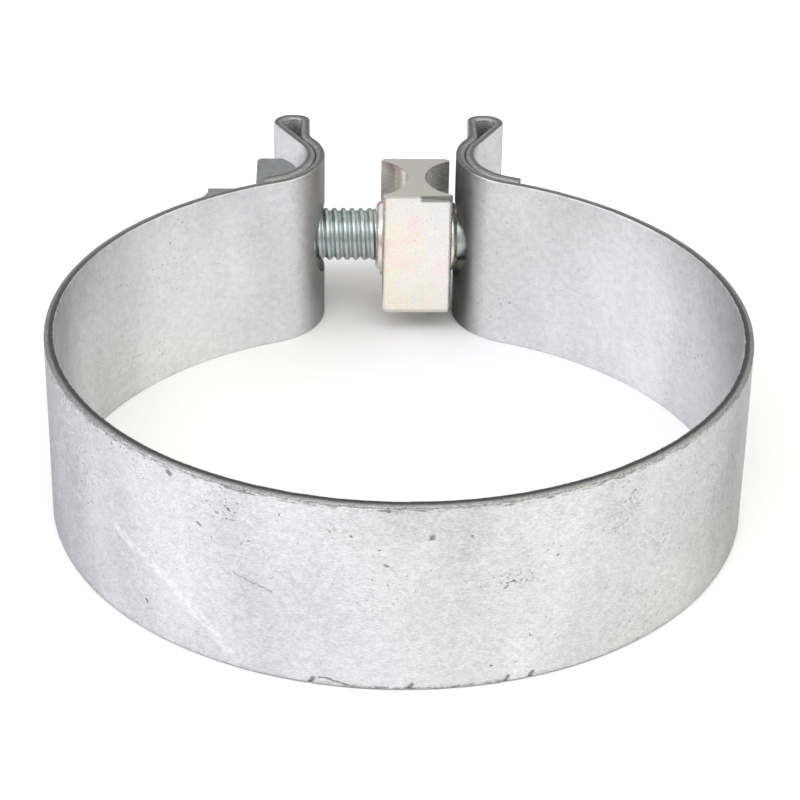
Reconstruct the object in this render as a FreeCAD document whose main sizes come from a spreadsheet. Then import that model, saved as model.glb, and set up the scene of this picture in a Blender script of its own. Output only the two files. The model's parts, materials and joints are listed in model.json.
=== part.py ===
import FreeCAD, Part
import math
import os

from FreeCAD import Placement, Rotation, Vector

# Single-bolt band clamp for a lapped pipe joint, drawn loose, as it comes off the shelf.
#
# Frame: the origin is on the pipe's axis, half way up the band. +Z runs along the pipe and
# +Y points at the bolt. The bolt lies along X, with its head on the +X side.
#
# One steel strip makes the ring and both ears. The ring flexes when the bolt draws up, so the
# strip is split into a front arc and two arms, which turn about the two ends of the front arc.
# Each ear is the strip folded back on itself: it curls round a half-round bar, folds over in a
# hollow loop at the top and runs back down to lie on the outside of the ring.

SIZES = {
    # strip and ring
    "band_width": 31.75,
    "strip_gauge": 1.6,
    "bore_radius": 54.6,
    "flex_angle": 43.0,
    "flex_gap": 0.3,
    # ears
    "bolt_offset": 63.0,
    "ear_gap": 23.6,
    "fold_clearance": 0.1,
    "neck_half_gap": 14.55,
    "neck_bend_radius": 4.0,
    "loop_height": 80.65,
    "loop_near_radius": 2.4,
    "loop_far_radius": 3.2,
    "loop_slope": 28.0,
    "hem_overrun": 1.6,
    "ear_hole_height": 13.4,
    "ear_hole_length": 14.6,
    "ear_hole_shift": 0.3,
    # bolt and nut, 3/8 inch coarse thread
    "bolt_diameter": 9.525,
    "bolt_length": 63.5,
    "bolt_tip_chamfer": 1.1,
    "head_height": 6.2,
    "hex_across_flats": 14.29,
    "hex_corner_chamfer": 0.9,
    "hex_chamfer_angle": 30.0,
    "hex_face_inset": 0.2,
    "hex_margin": 0.1,
    "nut_clearance": 0.08,
    "nut_hex_height": 8.9,
    "nut_collar_height": 2.4,
    "nut_collar_base": 7.5,
    "nut_collar_top": 5.4,
    "bearing_clearance": 0.05,
    # half-round bars
    "bar_depth": 12.4,
    "bar_thickness": 7.6,
    "bar_crown_radius": 8.0,
    "nut_bar_height": 24.8,
    "head_bar_height": 14.4,
    "bar_hole_radius": 5.2,
    "bar_seat_radius": 6.9,
    "bar_seat_depth": 1.3,
    "bar_edge_radius": 0.5,
    "bar_face_offset": 24.1,
    # reaction block
    "block_width": 12.5,
    "block_depth": 16.8,
    "block_height": 23.2,
    "block_edge_radius": 0.7,
    "block_bore_radius": 5.25,
    "flute_radius": 8.4,
    "flute_depth": 4.7,
    "boss_radius": 6.3,
    "boss_proud": 1.1,
    "boss_edge_radius": 1.0,
    "block_offset": 4.8,
    "block_sag": 0.3,
}

Y_AXIS = Vector(0, 1, 0)
Z_AXIS = Vector(0, 0, 1)

SAME_PLACE = 1e-4  # mm, two positions closer than this are one
LEAST_CUT = 1.0  # mm3, a cut that removes less than this has missed


# ---------------------------------------------------------------- document and sheet


def make_sheet(doc):
    sheet = doc.addObject("Spreadsheet::Sheet", "Sizes")
    for row, (alias, value) in enumerate(SIZES.items(), start=1):
        sheet.set(f"A{row}", alias)
        sheet.set(f"B{row}", str(value))
        sheet.setAlias(f"B{row}", alias)
    doc.recompute()
    return sheet


def bind(obj, **expressions):
    """Ties properties to the sheet: bind(pad, Length="Sizes.band_width")."""
    for name, expression in expressions.items():
        obj.setExpression(name.replace("__", "."), expression)


# ---------------------------------------------------------------- body helpers


def origin_plane(body, role):
    return next(f for f in body.Origin.OriginFeatures if f.Role == role)


def sketch_on(body, role, name, geometry):
    """A sketch on one of the body's own planes. On YZ_Plane, sketch x is body Y and y is body Z."""
    sketch = body.newObject("Sketcher::SketchObject", name)
    sketch.AttachmentSupport = [(origin_plane(body, role), "")]
    sketch.MapMode = "FlatFace"
    sketch.addGeometry(geometry, False)
    body.Document.recompute()
    return sketch


def pad_both_ways(body, name, sketch, length):
    pad = body.newObject("PartDesign::Pad", name)
    pad.Profile = sketch
    pad.SideType = "Symmetric"
    bind(pad, Length=length)
    sketch.Visibility = False
    body.Document.recompute()
    return pad


def pocket_one_way(body, name, sketch, length, reverse):
    """Cuts from the sketch plane and makes sure that the cut took material away."""
    before = body.Shape.Volume
    pocket = body.newObject("PartDesign::Pocket", name)
    pocket.Profile = sketch
    pocket.Type = "Length"
    pocket.Reversed = reverse
    bind(pocket, Length=length)
    body.Document.recompute()
    require_smaller(body, before, name)
    return pocket


def pocket_through(body, name, sketch):
    before = body.Shape.Volume
    pocket = body.newObject("PartDesign::Pocket", name)
    pocket.Profile = sketch
    pocket.Type = "ThroughAll"
    pocket.SideType = "Symmetric"
    body.Document.recompute()
    require_smaller(body, before, name)
    return pocket


def require_smaller(body, before, name):
    if before - body.Shape.Volume < LEAST_CUT:
        raise ValueError(f"{body.Name}: {name} removed nothing")


def round_edges(body, name, radius, chosen):
    """Fillets the edges of the body's tip that pass the test chosen(edge)."""
    tip = body.Tip
    names = [f"Edge{i}" for i, edge in enumerate(tip.Shape.Edges, start=1) if chosen(edge)]
    if not names:
        raise ValueError(f"{body.Name}: no edge found for {name}")
    fillet = body.newObject("PartDesign::Fillet", name)
    fillet.Base = (tip, names)
    bind(fillet, Radius=radius)
    body.Document.recompute()
    if "Invalid" in fillet.State or "Error" in fillet.State:
        raise ValueError(f"{body.Name}: {name} did not build")
    return fillet


def circle(radius):
    return Part.Circle(Vector(0, 0, 0), Z_AXIS, radius)


# ---------------------------------------------------------------- strip path
#
# The strip is drawn as its middle line: a chain of arcs and straights, each starting where the
# last one ended. Moving every link sideways by half the gauge gives the two skins.


def arc(centre, radius, start, end):
    """An arc link. Angles are in degrees, and the arc runs from start to end."""
    return {"centre": centre, "radius": radius, "start": start, "end": end}


def straight(first, last):
    return {"first": first, "last": last}


def polar(centre, radius, angle):
    a = math.radians(angle)
    return centre + Vector(radius * math.cos(a), radius * math.sin(a), 0)


def link_ends(link):
    if "centre" in link:
        return [polar(link["centre"], link["radius"], link[k]) for k in ("start", "end")]
    return [link["first"], link["last"]]


def move_left(link, distance):
    """The link moved to the left of its own direction of travel."""
    if "centre" in link:
        anticlockwise = link["end"] > link["start"]
        radius = link["radius"] + (-distance if anticlockwise else distance)
        return arc(link["centre"], radius, link["start"], link["end"])
    along = (link["last"] - link["first"]).normalize()
    shift = Vector(-along.y, along.x, 0) * distance
    return straight(link["first"] + shift, link["last"] + shift)


def mirror_link(link):
    """The link mirrored in the plane X = 0."""
    if "centre" in link:
        centre = Vector(-link["centre"].x, link["centre"].y, 0)
        return arc(centre, link["radius"], 180 - link["start"], 180 - link["end"])
    return straight(*[Vector(-p.x, p.y, 0) for p in link_ends(link)])


def link_curve(link):
    if "centre" in link:
        low, high = sorted(math.radians(link[k]) for k in ("start", "end"))
        return Part.ArcOfCircle(Part.Circle(link["centre"], Z_AXIS, link["radius"]), low, high)
    return Part.LineSegment(link["first"], link["last"])


def strip_outline(path, gauge):
    """The closed outline of a strip whose middle line is the path."""
    left = [move_left(link, gauge / 2) for link in path]
    right = [move_left(link, -gauge / 2) for link in path]
    start_cap = Part.LineSegment(link_ends(left[0])[0], link_ends(right[0])[0])
    end_cap = Part.LineSegment(link_ends(left[-1])[1], link_ends(right[-1])[1])
    return [link_curve(link) for link in left + right] + [start_cap, end_cap]


def ear_radius(s):
    """Radius of the ear's face towards the gap, tangent to the bore and at its closest to the
    other ear level with the bolt."""
    half_gap = s.ear_gap / 2
    return (s.bolt_offset**2 + half_gap**2 - s.bore_radius**2) / (2 * (s.bore_radius - half_gap))


def arm_path(s):
    """Middle line of the right arm, from the flex line round to the end of the folded hem."""
    origin = Vector(0, 0, 0)
    half = s.strip_gauge / 2
    layer = s.strip_gauge + s.fold_clearance
    ring = s.bore_radius + half
    curl_face = ear_radius(s)
    curl = Vector(s.ear_gap / 2 + curl_face, s.bolt_offset, 0)
    leave_ring = math.degrees(math.atan2(curl.y, curl.x))
    flex_start = -s.flex_angle + math.degrees(s.flex_gap / 2 / ring)

    # the neck bends back from the curl until the strip runs straight up
    neck_x = s.neck_half_gap - s.neck_bend_radius
    reach = curl_face + s.neck_bend_radius
    neck = Vector(neck_x, curl.y + math.sqrt(reach**2 - (curl.x - neck_x) ** 2), 0)
    neck_turn = math.degrees(math.asin((neck.y - curl.y) / reach))
    neck_radius = s.neck_bend_radius + half
    riser_x = neck.x + neck_radius

    # the loop turns over the top and slopes back down to the neck
    near_radius = s.loop_near_radius - half
    far_radius = s.loop_far_radius - half
    top = s.loop_height - half
    near = Vector(riser_x + near_radius, top - near_radius, 0)
    slope_foot = polar(neck, neck_radius + layer, -s.loop_slope)
    slope_way = Vector(math.sin(math.radians(s.loop_slope)), math.cos(math.radians(s.loop_slope)), 0)
    inward = Vector(-slope_way.y, slope_way.x, 0) * far_radius
    far_y = top - far_radius
    slope_top = slope_foot + slope_way * ((far_y - inward.y - slope_foot.y) / slope_way.y)
    far = slope_top + inward

    hem_end = leave_ring - math.degrees(s.hem_overrun / (ring + layer))
    return [
        arc(origin, ring, flex_start, leave_ring),
        arc(curl, curl_face - half, leave_ring + 180, 180 - neck_turn),
        arc(neck, neck_radius, -neck_turn, 0),
        straight(Vector(riser_x, neck.y, 0), Vector(riser_x, near.y, 0)),
        arc(near, near_radius, 180, 90),
        straight(Vector(near.x, top, 0), Vector(far.x, top, 0)),
        arc(far, far_radius, 90, -s.loop_slope),
        straight(slope_top, slope_foot),
        arc(neck, neck_radius + layer, -s.loop_slope, -neck_turn),
        arc(curl, curl_face - half - layer, 180 - neck_turn, leave_ring + 180),
        arc(origin, ring + layer, leave_ring, hem_end),
    ]


# ---------------------------------------------------------------- band


def make_band_front(doc, s):
    body = doc.addObject("PartDesign::Body", "band_front")
    ring = s.bore_radius + s.strip_gauge / 2
    slack = math.degrees(s.flex_gap / 2 / ring)
    path = [arc(Vector(0, 0, 0), ring, s.flex_angle - 180 + slack, -s.flex_angle - slack)]
    outline = sketch_on(body, "XY_Plane", "FrontOutline", strip_outline(path, s.strip_gauge))
    pad_both_ways(body, "FrontStrip", outline, "Sizes.band_width")
    return body


def make_band_arm(doc, s, name, mirrored):
    body = doc.addObject("PartDesign::Body", name)
    path = arm_path(s)
    if mirrored:
        path = [mirror_link(link) for link in path]
    outline = sketch_on(body, "XY_Plane", name + "_outline", strip_outline(path, s.strip_gauge))
    pad_both_ways(body, name + "_strip", outline, "Sizes.band_width")
    hole = sketch_on(body, "YZ_Plane", name + "_hole", ear_slot(s))
    pocket_one_way(body, name + "_slot", hole, "Sizes.ear_gap", reverse=not mirrored)
    return body


def ear_slot(s):
    """A slot across both layers of an ear. It is longer along the strip and set a little outward,
    because the ears tip towards the gap as they close."""
    radius = s.ear_hole_height / 2
    run = (s.ear_hole_length - s.ear_hole_height) / 2
    middle = s.bolt_offset + s.ear_hole_shift
    near = Vector(middle - run, 0, 0)
    far = Vector(middle + run, 0, 0)
    quarter = math.pi / 2
    up = Vector(0, radius, 0)
    return [
        Part.ArcOfCircle(Part.Circle(near, Z_AXIS, radius), quarter, 3 * quarter),
        Part.ArcOfCircle(Part.Circle(far, Z_AXIS, radius), -quarter, quarter),
        Part.LineSegment(near + up, far + up),
        Part.LineSegment(near - up, far - up),
    ]


# ---------------------------------------------------------------- reaction block


def make_reaction_block(doc, s):
    """The block between the ears. Both faces are fluted for the ears to seat in, and a round boss
    stands in each flute and enters the ear's hole."""
    body = doc.addObject("PartDesign::Body", "reaction_block")
    section = sketch_on(body, "XY_Plane", "BlockSection", fluted_section(s))
    pad_both_ways(body, "BlockBlank", section, "Sizes.block_height")
    round_edges(body, "BlockCorners", "Sizes.block_edge_radius",
                lambda edge: is_corner_upright(edge, s))
    boss = sketch_on(body, "YZ_Plane", "BossSection", [circle(s.boss_radius)])
    pad_both_ways(body, "Boss", boss, "Sizes.block_width + 2 * Sizes.boss_proud")
    tip = s.block_width / 2 + s.boss_proud
    round_edges(body, "BossRims", "Sizes.boss_edge_radius",
                lambda edge: abs(abs(edge.CenterOfMass.x) - tip) < SAME_PLACE)
    bore = sketch_on(body, "YZ_Plane", "BlockBoreCircle", [circle(s.block_bore_radius)])
    pocket_through(body, "BlockBore", bore)
    bind(body, Placement__Base__x="Sizes.block_offset", Placement__Base__y="Sizes.bolt_offset",
         Placement__Base__z="-Sizes.block_sag")
    return body


def fluted_section(s):
    half_width = s.block_width / 2
    half_depth = s.block_depth / 2
    middle = half_width - s.flute_depth + s.flute_radius
    lip = math.sqrt(s.flute_radius**2 - (middle - half_width) ** 2)
    spread = math.atan2(lip, middle - half_width)
    right = Part.Circle(Vector(middle, 0, 0), Z_AXIS, s.flute_radius)
    left = Part.Circle(Vector(-middle, 0, 0), Z_AXIS, s.flute_radius)
    geometry = [
        Part.ArcOfCircle(right, math.pi - spread, math.pi + spread),
        Part.ArcOfCircle(left, -spread, spread),
    ]
    for y in (-half_depth, half_depth):
        geometry.append(Part.LineSegment(Vector(-half_width, y, 0), Vector(half_width, y, 0)))
        inner = math.copysign(lip, y)
        for x in (-half_width, half_width):
            geometry.append(Part.LineSegment(Vector(x, y, 0), Vector(x, inner, 0)))
    return geometry


def is_corner_upright(edge, s):
    middle = edge.CenterOfMass
    corner = Vector(s.block_width / 2, s.block_depth / 2, 0)
    return Vector(abs(middle.x), abs(middle.y), middle.z).distanceToPoint(corner) < SAME_PLACE


# ---------------------------------------------------------------- half-round bars


def make_bar(doc, s, name, side, height):
    """A bar with a flat outer face and a crown that sits in the ear's curl. side is +1 for the
    bar under the bolt's head and -1 for the bar under the nut. height is its alias."""
    body = doc.addObject("PartDesign::Body", name)
    section = sketch_on(body, "XY_Plane", name + "_section", crowned_section(s, side))
    pad_both_ways(body, name + "_blank", section, f"Sizes.{height}")
    half_height = getattr(s, height) / 2
    round_edges(body, name + "_ends", "Sizes.bar_edge_radius",
                lambda edge: abs(abs(edge.CenterOfMass.z) - half_height) < SAME_PLACE)
    hole = sketch_on(body, "YZ_Plane", name + "_hole_circle", [circle(s.bar_hole_radius)])
    pocket_through(body, name + "_hole", hole)
    sink_seat(body, s, side)
    sign = "" if side > 0 else "-"
    bind(body, Placement__Base__x=f"{sign}Sizes.bar_face_offset",
         Placement__Base__y="Sizes.bolt_offset")
    return body


def crowned_section(s, side):
    """The section's origin is on the flat outer face, level with the hole."""
    half = s.bar_depth / 2
    centre = s.bar_thickness - s.bar_crown_radius
    shoulder = centre + math.sqrt(s.bar_crown_radius**2 - half**2)
    spread = math.atan2(half, shoulder - centre)
    facing = math.pi if side > 0 else 0.0
    crown = Part.Circle(Vector(-side * centre, 0, 0), Z_AXIS, s.bar_crown_radius)
    return [
        Part.ArcOfCircle(crown, facing - spread, facing + spread),
        Part.LineSegment(Vector(0, -half, 0), Vector(0, half, 0)),
        Part.LineSegment(Vector(0, half, 0), Vector(-side * shoulder, half, 0)),
        Part.LineSegment(Vector(0, -half, 0), Vector(-side * shoulder, -half, 0)),
    ]


def sink_seat(body, s, side):
    """A flat recess in the crown, round the hole, that clears the block's boss."""
    seat = sketch_on(body, "YZ_Plane", body.Name + "_seat_circle", [circle(s.bar_seat_radius)])
    floor = s.bar_thickness - s.bar_seat_depth
    seat.AttachmentOffset = Placement(Vector(0, 0, -side * floor), Rotation())
    body.Document.recompute()
    pocket_one_way(body, body.Name + "_seat", seat, "Sizes.bar_thickness", reverse=side < 0)


# ---------------------------------------------------------------- bolt and nut


HEX_CORNER = "Sizes.hex_across_flats / 2 / cos(30)"
HEX_FACE = "Sizes.hex_across_flats / 2 - Sizes.hex_face_inset"


def hexagon(doc, name, height, turn):
    """A hexagonal prism. With no turn, corners point up and down once its axis lies along X."""
    prism = doc.addObject("Part::Prism", name)
    prism.Polygon = 6
    bind(prism, Circumradius=HEX_CORNER, Height=height)
    prism.Placement = Placement(Vector(0, 0, 0), Rotation(Z_AXIS, turn))
    return prism


def cylinder(doc, name, radius, height):
    shape = doc.addObject("Part::Cylinder", name)
    bind(shape, Radius=radius, Height=height)
    return shape


def cone(doc, name, bottom, top, height):
    shape = doc.addObject("Part::Cone", name)
    bind(shape, Radius1=bottom, Radius2=top, Height=height)
    return shape


def fuse(doc, name, shapes):
    joined = doc.addObject("Part::MultiFuse", name)
    joined.Shapes = shapes
    joined.Refine = True
    return joined


def common(doc, name, shapes):
    shared = doc.addObject("Part::MultiCommon", name)
    shared.Shapes = shapes
    return shared


def make_bolt(doc, s):
    """Local +Z runs from the bearing face of the head, through the head. The threaded length is
    drawn plain, at the thread's outside diameter."""
    head_blank = hexagon(doc, "HeadBlank", "Sizes.head_height", turn=0)
    head_crown = cone(doc, "HeadCrown",
                      f"{HEX_FACE} + Sizes.head_height / tan(Sizes.hex_chamfer_angle)",
                      HEX_FACE, "Sizes.head_height")
    head = common(doc, "Head", [head_blank, head_crown])
    shank = cylinder(doc, "Shank", "Sizes.bolt_diameter / 2",
                     "Sizes.bolt_length - Sizes.bolt_tip_chamfer")
    bind(shank, Placement__Base__z="-Sizes.bolt_length + Sizes.bolt_tip_chamfer")
    tip = cone(doc, "Tip", "Sizes.bolt_diameter / 2 - Sizes.bolt_tip_chamfer",
               "Sizes.bolt_diameter / 2", "Sizes.bolt_tip_chamfer")
    bind(tip, Placement__Base__z="-Sizes.bolt_length")
    bolt = fuse(doc, "bolt", [head, shank, tip])
    bolt.Placement = Placement(Vector(0, 0, 0), Rotation(Y_AXIS, 90))
    bind(bolt, Placement__Base__x="Sizes.bar_face_offset + Sizes.bearing_clearance",
         Placement__Base__y="Sizes.bolt_offset")
    return bolt


def make_lock_nut(doc, s):
    """Local +Z runs from the bearing face to the crimped collar. The bore is plain, with running
    clearance on the bolt."""
    total = "Sizes.nut_hex_height + Sizes.nut_collar_height"
    blank = hexagon(doc, "NutBlank", total, turn=30)
    outside = f"{HEX_CORNER} + Sizes.hex_margin"
    foot = cone(doc, "NutFoot", HEX_FACE, outside, "Sizes.hex_corner_chamfer")
    barrel = cylinder(doc, "NutBarrel", outside,
                      "Sizes.nut_hex_height - Sizes.hex_corner_chamfer")
    bind(barrel, Placement__Base__z="Sizes.hex_corner_chamfer")
    collar = cone(doc, "NutCollar", "Sizes.nut_collar_base", "Sizes.nut_collar_top",
                  "Sizes.nut_collar_height")
    bind(collar, Placement__Base__z="Sizes.nut_hex_height")
    envelope = fuse(doc, "NutEnvelope", [foot, barrel, collar])
    turned = common(doc, "NutTurned", [blank, envelope])
    bore = cylinder(doc, "NutBore", "Sizes.bolt_diameter / 2 + Sizes.nut_clearance", total)
    nut = doc.addObject("Part::Cut", "lock_nut")
    nut.Base = turned
    nut.Tool = bore
    nut.Refine = True
    nut.Placement = Placement(Vector(0, 0, 0), Rotation(Y_AXIS, -90))
    bind(nut, Placement__Base__x="-Sizes.bar_face_offset - Sizes.bearing_clearance",
         Placement__Base__y="Sizes.bolt_offset")
    return nut


# ---------------------------------------------------------------- build and export


def check_document(doc, nodes):
    for obj in doc.Objects:
        if "Invalid" in obj.State or "Error" in obj.State:
            raise ValueError(f"{obj.Name} did not build: {obj.State}")
    for node in nodes:
        if node.Shape.isNull() or not node.Shape.isValid() or not node.Shape.Solids:
            raise ValueError(f"{node.Label} has no valid solid")


def main():
    doc = FreeCAD.newDocument("pipe_repair_clamp")
    sheet = make_sheet(doc)
    nodes = [
        make_band_front(doc, sheet),
        make_band_arm(doc, sheet, "band_right_arm", mirrored=False),
        make_band_arm(doc, sheet, "band_left_arm", mirrored=True),
        make_reaction_block(doc, sheet),
        make_bar(doc, sheet, "nut_side_bar", -1, "nut_bar_height"),
        make_bar(doc, sheet, "head_side_bar", 1, "head_bar_height"),
        make_bolt(doc, sheet),
        make_lock_nut(doc, sheet),
    ]
    doc.recompute()
    check_document(doc, nodes)
    os.makedirs("parts", exist_ok=True)
    for node in nodes:
        node.Label = node.Name
        node.Shape.exportStep(f"parts/{node.Label}.step")
        box = node.Shape.BoundBox
        print(f"{node.Label:16s} {node.Shape.Volume:9.1f} mm3  "
              f"X {box.XMin:7.2f} {box.XMax:7.2f}  Y {box.YMin:7.2f} {box.YMax:7.2f}  "
              f"Z {box.ZMin:7.2f} {box.ZMax:7.2f}")


main()
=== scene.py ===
import json
import math

import bmesh
import bpy
import numpy as np
from mathutils import Matrix, Vector, kdtree, noise


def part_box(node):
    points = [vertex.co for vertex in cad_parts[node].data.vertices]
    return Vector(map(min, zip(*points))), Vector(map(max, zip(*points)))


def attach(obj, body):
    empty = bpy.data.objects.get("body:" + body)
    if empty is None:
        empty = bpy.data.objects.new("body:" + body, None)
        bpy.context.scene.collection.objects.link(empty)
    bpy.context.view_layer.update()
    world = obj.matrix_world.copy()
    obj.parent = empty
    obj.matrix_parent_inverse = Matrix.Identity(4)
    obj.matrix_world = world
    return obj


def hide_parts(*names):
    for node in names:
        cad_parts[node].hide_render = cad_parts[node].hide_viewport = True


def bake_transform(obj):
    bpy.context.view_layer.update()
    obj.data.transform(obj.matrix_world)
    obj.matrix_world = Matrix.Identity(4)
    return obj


# The looks of the band clamp: one folded steel strip, shown as two halves that meet at the front,
# a fluted block, two half-round bars, a threaded bolt and a lock nut.
#
# Lengths are metres, in the frame's own axes, and MM turns millimetres into metres. Shaders
# work in millimetres, because their grain and scratches are fractions of one.

MM = 0.001

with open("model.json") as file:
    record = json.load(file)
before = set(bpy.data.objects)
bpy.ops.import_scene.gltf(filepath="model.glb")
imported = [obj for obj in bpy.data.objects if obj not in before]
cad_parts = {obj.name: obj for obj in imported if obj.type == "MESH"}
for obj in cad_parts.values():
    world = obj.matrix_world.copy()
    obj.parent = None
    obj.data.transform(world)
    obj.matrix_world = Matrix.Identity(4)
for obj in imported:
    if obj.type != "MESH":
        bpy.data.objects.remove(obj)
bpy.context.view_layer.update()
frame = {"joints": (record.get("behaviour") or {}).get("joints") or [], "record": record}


# ---------------------------------------------------------------- sizes read from the frame


def find(rows, name):
    return next(row for row in rows if row["name"] == name)


BORE = find(frame["record"]["mounts"], "pipe_bore")["dims"]["r_mm"] * MM
BOLT_Y = find(frame["joints"], "bolt_turn")["pos_m"][1]

FRONT_LOW, FRONT_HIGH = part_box("band_front")
ARM_LOW, ARM_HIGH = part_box("band_right_arm")
BLOCK_LOW, BLOCK_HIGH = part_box("reaction_block")
BOLT_LOW, BOLT_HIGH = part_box("bolt")
NUT_LOW, NUT_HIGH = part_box("lock_nut")

GAUGE = -FRONT_LOW.y - BORE
HALF_WIDTH = FRONT_HIGH.z
HALF_GAP = ARM_LOW.x
LOOP_TOP = ARM_HIGH.y
RING = BORE + GAUGE / 2

# ---------------------------------------------------------------- sizes of the details

WELD = 0.001 * MM
# a turned tool is set round by this many degrees, so that no edge of it lies on a hexagon's corner
LATHE_TURN = 0.7
LATHE_STEPS = 96
SMOOTH_ANGLE = 32.0
RIM_SEGMENTS = 4
# how far a cutting tool stands past the surface it cuts
PAST = 1.0 * MM

# strip
FOLD_CLEARANCE = 0.1 * MM
NECK_HALF_GAP = 14.55 * MM
NECK_BEND = 4.0 * MM
LOOP_NEAR = 2.4 * MM
LOOP_FAR = 3.2 * MM
LOOP_SLOPE = 28.0
HEM_OVERRUN = 1.6 * MM
SLOT_HALF_HEIGHT = 6.7 * MM
SLOT_RUN = 0.6 * MM
SLOT_SHIFT = 0.3 * MM
ROLLOVER = 0.42 * MM
BURR_RADIUS = 0.12 * MM
STRIP_STEP = 0.4 * MM
STRIP_TURN = math.radians(5)
ROW_SPACING = 2.2 * MM
SECTION_STEPS = 5
SLOT_STEPS = 32
RIPPLE = 0.10 * MM
RIPPLE_FADE = 10 * MM
RIM_WANDER = 0.10 * MM
RIM_POWER = 6
# sizes of the unevenness in millimetres, and the places in the noise it is read from
RIPPLE_LENGTH, RIPPLE_HEIGHT, RIPPLE_LAYER = 17, 14, 3.0
WANDER_LENGTH, WANDER_APART, WANDER_LAYER = 3.1, 9.0, 1.0
NICK_DEPTH = 0.45 * MM
NICK_WIDTH = 0.5 * MM

# marks on the strip, in millimetres: distance round the ring from the front middle, height
NICKS = (-14.0, 0.4, 14.6, 18.4)
SCUFF = ((-48.6, 0.0), (-37.3, -4.5), (-29.3, -10.7), (-26.8, -13.1))
SCRATCH = ((-25.5, 0.9), (-19.6, -0.8))
BOTTOM_CRACK = ((-12.6, -14.4), (-8.6, -15.2))
FOOT_LINE = (-9.0, 14.0)
# ends of a broad, slight darkening across the front middle, set by brightness
FRONT_DARKENING = ((-12.0, 5.0), (4.0, 5.0))
CLUSTERS = ((-11.2, 12.2, 3.0), (4.3, 6.8, 3.0), (14.7, 2.0, 2.6), (-1.0, 11.8, 3.5),
            (-30.5, 12.0, 4.0), (30.0, 9.0, 4.0), (38.0, 2.0, 4.0))
PITS = ((3.2, 10.6, 0.55), (-36.6, 14.4, 0.40), (-7.8, 10.3, 0.20), (-3.9, 8.3, 0.18),
        (-3.3, 6.1, 0.20), (-18.5, 12.6, 0.18), (-41.8, -10.3, 0.24), (-3.1, 15.3, 0.40),
        (21.8, 5.1, 0.20), (12.5, -12.5, 0.20), (-31.3, 7.5, 0.22), (-24.4, 6.4, 0.18),
        (-15.8, 8.3, 0.18), (9.1, 10.4, 0.18), (62.9, 4.6, 0.25), (18.1, -8.0, 0.18),
        (30.4, -3.3, 0.20))

# bolt and nut
THREAD_PITCH = 1.5875 * MM
THREAD_LENGTH = 38.0 * MM
# about half of the real thread's depth, which matches the soft look of the photograph
THREAD_DEPTH = 0.48 * MM
THREAD_CREST = 0.3
THREAD_ROOT = 0.85
THREAD_ROWS = 14
THREAD_COLUMNS = 48
TIP_CHAMFER = 1.1 * MM
BOLT_RADIUS = 4.7625 * MM
HEAD_HEIGHT = 6.2 * MM
ACROSS_FLATS = 14.29 * MM
HEX_EDGE = 0.3 * MM
HEX_STEPS = 4
FACE_INSET = 0.2 * MM
HEAD_SLOPE = 60.0
NUT_HEX_HEIGHT = 8.9 * MM
NUT_CHAMFER = 0.9 * MM
NUT_BORE = 4.86 * MM
NUT_MOUTH = 0.5 * MM
COLLAR_BASE = 7.5 * MM
COLLAR_TOP = 5.4 * MM

# bars
BAR_THICKNESS = 7.6 * MM
BAR_CROWN = 8.0 * MM
BAR_HOLE = 5.2 * MM
BAR_SEAT = 6.9 * MM
BAR_SEAT_DEPTH = 1.3 * MM
BAR_CORNER = 0.9 * MM
BAR_RIM = 0.6 * MM
BAR_CROWN_STEPS = 32
BAR_CORNER_STEPS = 4

# block
BOSS_RADIUS = 6.3 * MM
BOSS_PROUD = 1.1 * MM
BOSS_EDGE = 1.0 * MM
FLUTE_RADIUS = 8.0 * MM
FLUTE_DEPTH = 4.7 * MM
BLOCK_CORNER = 1.0 * MM
BLOCK_BORE = 5.25 * MM
BLOCK_TOP_RIM = 0.22 * MM
BLOCK_FOOT_RIM = 0.35 * MM
FLUTE_STEPS = 40
BLOCK_STEPS = 5
TOP_RIM_STEPS = 3
BOSS_STEPS = 6
TEAR_START = 0.5 * MM
TEAR_HEIGHT = 0.9 * MM
TEAR_DEPTH = 0.5 * MM
# shares of the tear's size: where it starts, along its back edge, and where it meets the top
TEAR_THIN = 0.25
TEAR_BACK = 0.8
TEAR_RUNOUT = 1.6


# ---------------------------------------------------------------- mesh helpers


def mesh_object(name, vertices, faces):
    mesh = bpy.data.meshes.new(name)
    mesh.from_pydata([tuple(v) for v in vertices], [], [tuple(f) for f in faces])
    obj = bpy.data.objects.new(name, mesh)
    bpy.context.scene.collection.objects.link(obj)
    outward_normals(obj)
    return obj


def outward_normals(obj):
    bm = bmesh.new()
    bm.from_mesh(obj.data)
    bmesh.ops.recalc_face_normals(bm, faces=bm.faces)
    bm.to_mesh(obj.data)
    bm.free()


def combine(target, tool, operation):
    """Applies an exact Boolean to the target and deletes the tool."""
    modifier = target.modifiers.new("combine", "BOOLEAN")
    modifier.operation = operation
    modifier.solver = "EXACT"
    modifier.object = tool
    graph = bpy.context.evaluated_depsgraph_get()
    made = bpy.data.meshes.new_from_object(target.evaluated_get(graph))
    target.modifiers.clear()
    target.data = made
    bpy.data.objects.remove(tool)


def weld(obj):
    """Removes the slivers that a cut leaves where two surfaces only just touch."""
    bm = bmesh.new()
    bm.from_mesh(obj.data)
    bmesh.ops.remove_doubles(bm, verts=bm.verts, dist=WELD)
    bmesh.ops.dissolve_degenerate(bm, edges=bm.edges, dist=WELD)
    bm.to_mesh(obj.data)
    bm.free()


def smooth(obj):
    """Smooth shading, with edges sharper than SMOOTH_ANGLE kept crisp and flats kept flat."""
    obj.data.shade_smooth()
    obj.data.set_sharp_from_angle(angle=math.radians(SMOOTH_ANGLE))
    flats = obj.modifiers.new("flats", "WEIGHTED_NORMAL")
    flats.keep_sharp = True


def arc_points(centre, radius, start, end, steps):
    """Points of an arc in a plane. Angles are in degrees."""
    angles = np.radians(np.linspace(start, end, steps + 1))
    return [(centre[0] + radius * math.cos(a), centre[1] + radius * math.sin(a)) for a in angles]


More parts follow.
